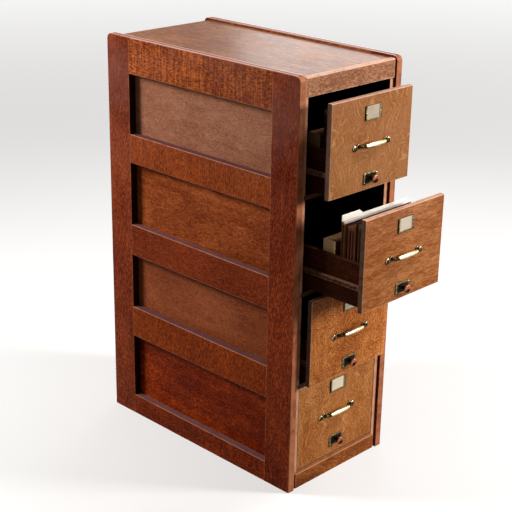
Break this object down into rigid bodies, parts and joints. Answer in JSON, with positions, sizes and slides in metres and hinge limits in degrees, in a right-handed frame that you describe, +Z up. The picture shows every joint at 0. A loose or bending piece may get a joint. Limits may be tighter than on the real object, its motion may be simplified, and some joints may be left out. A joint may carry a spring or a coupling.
{
  "type": "filing cabinet",
  "caption": "Upright oak filing cabinet with open side frames over recessed panels, sliding letter drawers, brass pulls, label holders and turn latches.",
  "frame": {"origin": "on the floor, at the centre of the case's footprint", "axes": "+X to the right seen from the front, +Y to the back, +Z up; the drawers open towards -Y"},
  "size_m": [0.45, 1.085, 1.32],
  "materials": {
    "frame_wood": "red-brown oak, satin varnish",
    "panel_wood": "brown oak panel, worn varnish",
    "carcass_wood": "brown oak, satin varnish",
    "top_wood": "brown oak, worn varnish",
    "front_wood": "quarter-sawn golden oak",
    "box_wood": "oiled wood, matt",
    "inner_wood": "dark unfinished wood",
    "brass": "aged brass, darkened in its recesses",
    "card": "plain card",
    "folder_paper": "manila and white paper"
  },
  "bodies": {
    "case": {"frame_stiles": "frame_wood", "frame_rails": "frame_wood", "frame_dowels": "frame_wood", "side_panels": "panel_wood", "corner_posts": "carcass_wood", "drawer_guides": "inner_wood", "top_board": "top_wood", "top_front_rail": "carcass_wood", "divider_rails": "carcass_wood", "floor_board": "inner_wood", "base_rails": "carcass_wood", "back_rails": "frame_wood", "back_panels": "panel_wood"},
    "drawer_1": {"drawer_1_front": "front_wood", "drawer_1_sides": "box_wood", "drawer_1_back": "box_wood", "drawer_1_bottom": "box_wood", "drawer_1_runners": "inner_wood", "drawer_1_pull": "brass", "drawer_1_label_holder": "brass", "drawer_1_label_card": "card", "drawer_1_latch_plate": "brass", "drawer_1_folders": "folder_paper"},
    "drawer_1_follower_block": {"drawer_1_follower": "box_wood"},
    "drawer_1_latch": {"drawer_1_latch_knob": "brass"},
    "drawer_2": {"drawer_2_front": "front_wood", "drawer_2_sides": "box_wood", "drawer_2_back": "box_wood", "drawer_2_bottom": "box_wood", "drawer_2_runners": "inner_wood", "drawer_2_pull": "brass", "drawer_2_label_holder": "brass", "drawer_2_label_card": "card", "drawer_2_latch_plate": "brass", "drawer_2_folders": "folder_paper"},
    "drawer_2_follower_block": {"drawer_2_follower": "box_wood"},
    "drawer_2_latch": {"drawer_2_latch_knob": "brass"},
    "drawer_3": {"drawer_3_front": "front_wood", "drawer_3_sides": "box_wood", "drawer_3_back": "box_wood", "drawer_3_bottom": "box_wood", "drawer_3_runners": "inner_wood", "drawer_3_pull": "brass", "drawer_3_label_holder": "brass", "drawer_3_label_card": "card", "drawer_3_latch_plate": "brass"},
    "drawer_3_follower_block": {"drawer_3_follower": "box_wood"},
    "drawer_3_latch": {"drawer_3_latch_knob": "brass"},
    "drawer_4": {"drawer_4_front": "front_wood", "drawer_4_sides": "box_wood", "drawer_4_back": "box_wood", "drawer_4_bottom": "box_wood", "drawer_4_runners": "inner_wood", "drawer_4_pull": "brass", "drawer_4_label_holder": "brass", "drawer_4_label_card": "card", "drawer_4_latch_plate": "brass"},
    "drawer_4_follower_block": {"drawer_4_follower": "box_wood"},
    "drawer_4_latch": {"drawer_4_latch_knob": "brass"}
  },
  "joints": [
    {"name": "drawer_1_slide", "type": "slide", "parent": "case", "child": "drawer_1", "axis": [0, -1, 0], "range_m": [-0.0876, 0.4724]},
    {"name": "drawer_1_follower_slide", "type": "slide", "parent": "drawer_1", "child": "drawer_1_follower_block", "axis": [0, 1, 0], "range_m": [-0.0115, 0.659]},
    {"name": "drawer_1_latch_turn", "type": "hinge", "parent": "drawer_1", "child": "drawer_1_latch", "pos_m": [0, -0.4996, 1.0037], "axis": [0, 1, 0], "range_deg": [0, 90]},
    {"name": "drawer_2_slide", "type": "slide", "parent": "case", "child": "drawer_2", "axis": [0, -1, 0], "range_m": [-0.228, 0.332]},
    {"name": "drawer_2_follower_slide", "type": "slide", "parent": "drawer_2", "child": "drawer_2_follower_block", "axis": [0, 1, 0], "range_m": [-0.0195, 0.592]},
    {"name": "drawer_2_latch_turn", "type": "hinge", "parent": "drawer_2", "child": "drawer_2_latch", "pos_m": [0, -0.64, 0.7009], "axis": [0, 1, 0], "range_deg": [0, 90]},
    {"name": "drawer_3_slide", "type": "slide", "parent": "case", "child": "drawer_3", "axis": [0, -1, 0], "range_m": [-0.0401, 0.5199]},
    {"name": "drawer_3_follower_slide", "type": "slide", "parent": "drawer_3", "child": "drawer_3_follower_block", "axis": [0, 1, 0], "range_m": [-0.2755, 0.425]},
    {"name": "drawer_3_latch_turn", "type": "hinge", "parent": "drawer_3", "child": "drawer_3_latch", "pos_m": [0, -0.4521, 0.3981], "axis": [0, 1, 0], "range_deg": [0, 90]},
    {"name": "drawer_4_slide", "type": "slide", "parent": "case", "child": "drawer_4", "axis": [0, -1, 0], "range_m": [0, 0.56]},
    {"name": "drawer_4_follower_slide", "type": "slide", "parent": "drawer_4", "child": "drawer_4_follower_block", "axis": [0, 1, 0], "range_m": [-0.5355, 0.165]},
    {"name": "drawer_4_latch_turn", "type": "hinge", "parent": "drawer_4", "child": "drawer_4_latch", "pos_m": [0, -0.412, 0.1063], "axis": [0, 1, 0], "range_deg": [0, 90]}
  ]
}
